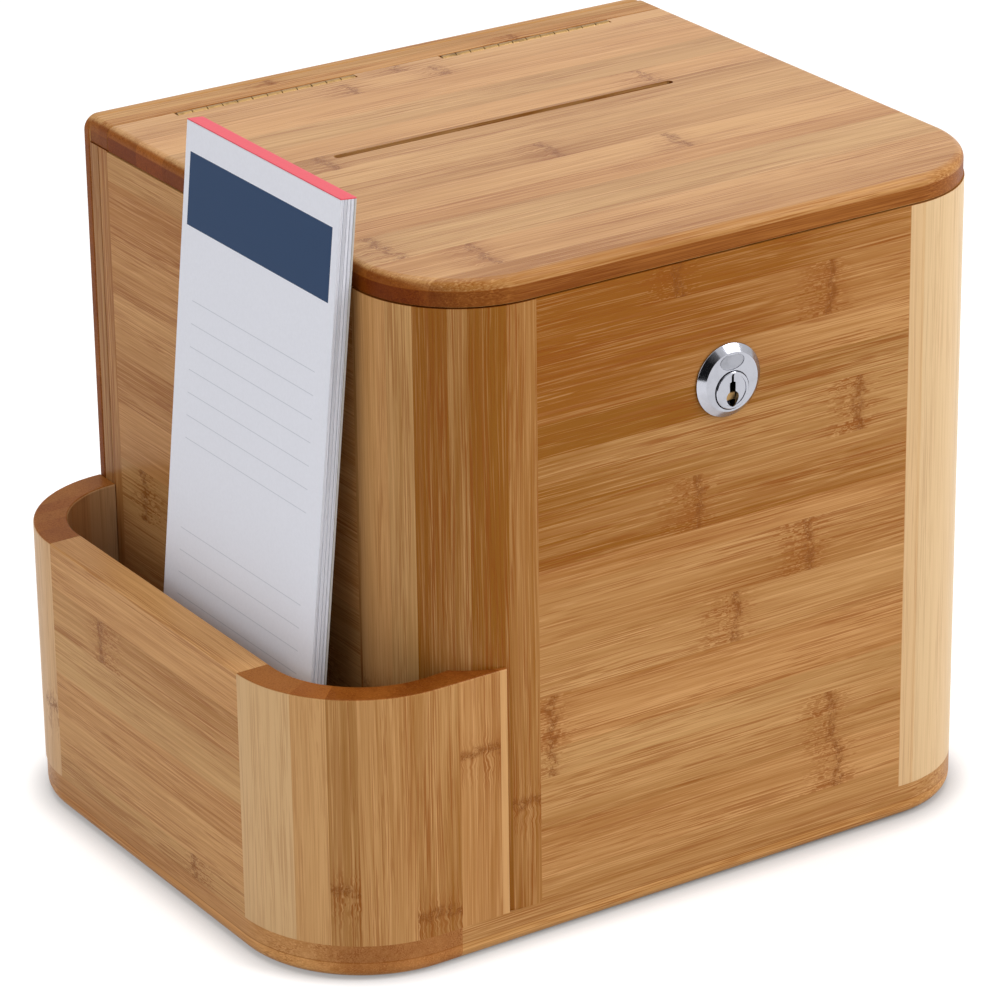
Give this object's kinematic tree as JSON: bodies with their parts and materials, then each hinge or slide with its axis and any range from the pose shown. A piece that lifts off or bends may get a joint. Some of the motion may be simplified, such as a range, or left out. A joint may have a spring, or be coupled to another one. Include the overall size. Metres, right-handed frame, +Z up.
{
  "type": "suggestion box",
  "caption": "Bamboo suggestion box with a hinged, slotted lid, a front cam lock and an open side pocket that holds a leaning pad of cards.",
  "frame": {"origin": "the middle of the overall width and depth, on the surface that the box stands on", "axes": "+Z up; the lock is on the -Y side and the hinges are on the +Y side; +X is the viewer's right when facing the lock, and the pocket is on the -X side"},
  "size_m": [0.257, 0.204, 0.2398],
  "materials": {
    "bamboo": "satin lacquered bamboo strip board, honey coloured, with darker strips and node marks",
    "brass": "plain brass, slightly dulled",
    "chrome": "bright chrome plate",
    "zinc_steel": "zinc plated steel",
    "paper": "white paper cards with a navy band at the head and pale grey ruled lines",
    "backing_card": "grey board",
    "pad_glue": "pink red padding glue"
  },
  "bodies": {
    "box": {"back_board": "bamboo", "base_board": "bamboo", "front_left_post": "bamboo", "front_panel": "bamboo", "front_right_post": "bamboo", "left_hinge_pin": "brass", "left_hinge_rail_leaf": "brass", "left_hinge_rail_screw_1": "brass", "left_hinge_rail_screw_2": "brass", "left_hinge_rail_screw_3": "brass", "left_side_panel": "bamboo", "lock_body": "chrome", "lock_nut": "zinc_steel", "pocket_front_corner": "bamboo", "pocket_left_panel": "bamboo", "pocket_rear_corner": "bamboo", "rear_left_batten": "bamboo", "rear_left_strip": "bamboo", "rear_right_batten": "bamboo", "rear_right_strip": "bamboo", "right_hinge_pin": "brass", "right_hinge_rail_leaf": "brass", "right_hinge_rail_screw_1": "brass", "right_hinge_rail_screw_2": "brass", "right_hinge_rail_screw_3": "brass", "right_side_panel": "bamboo", "top_rail": "bamboo"},
    "lid": {"lid_panel": "bamboo", "keeper_bracket": "zinc_steel", "keeper_screw_1": "zinc_steel", "keeper_screw_2": "zinc_steel", "left_hinge_lid_leaf": "brass", "left_hinge_lid_screw_1": "brass", "left_hinge_lid_screw_2": "brass", "left_hinge_lid_screw_3": "brass", "right_hinge_lid_leaf": "brass", "right_hinge_lid_screw_1": "brass", "right_hinge_lid_screw_2": "brass", "right_hinge_lid_screw_3": "brass"},
    "lock_plug": {"lock_plug": "chrome", "lock_cam": "zinc_steel", "cam_screw": "zinc_steel"},
    "pad": {"pad_sheets": "paper", "pad_backing": "backing_card", "pad_glue_edge": "pad_glue"}
  },
  "joints": [
    {"name": "lid_hinge", "type": "hinge", "parent": "box", "child": "lid", "pos_m": [0.0205, 0.0852, 0.2168], "axis": [-1, 0, 0], "range_deg": [0, 105]},
    {"name": "lock_turn", "type": "hinge", "parent": "box", "child": "lock_plug", "pos_m": [0.0205, -0.099, 0.1658], "axis": [0, 1, 0], "range_deg": [0, 90]},
    {"name": "pad_lift", "type": "slide", "parent": "box", "child": "pad", "axis": [0.0989, 0, 0.9951], "range_m": [0, 0.235]}
  ]
}
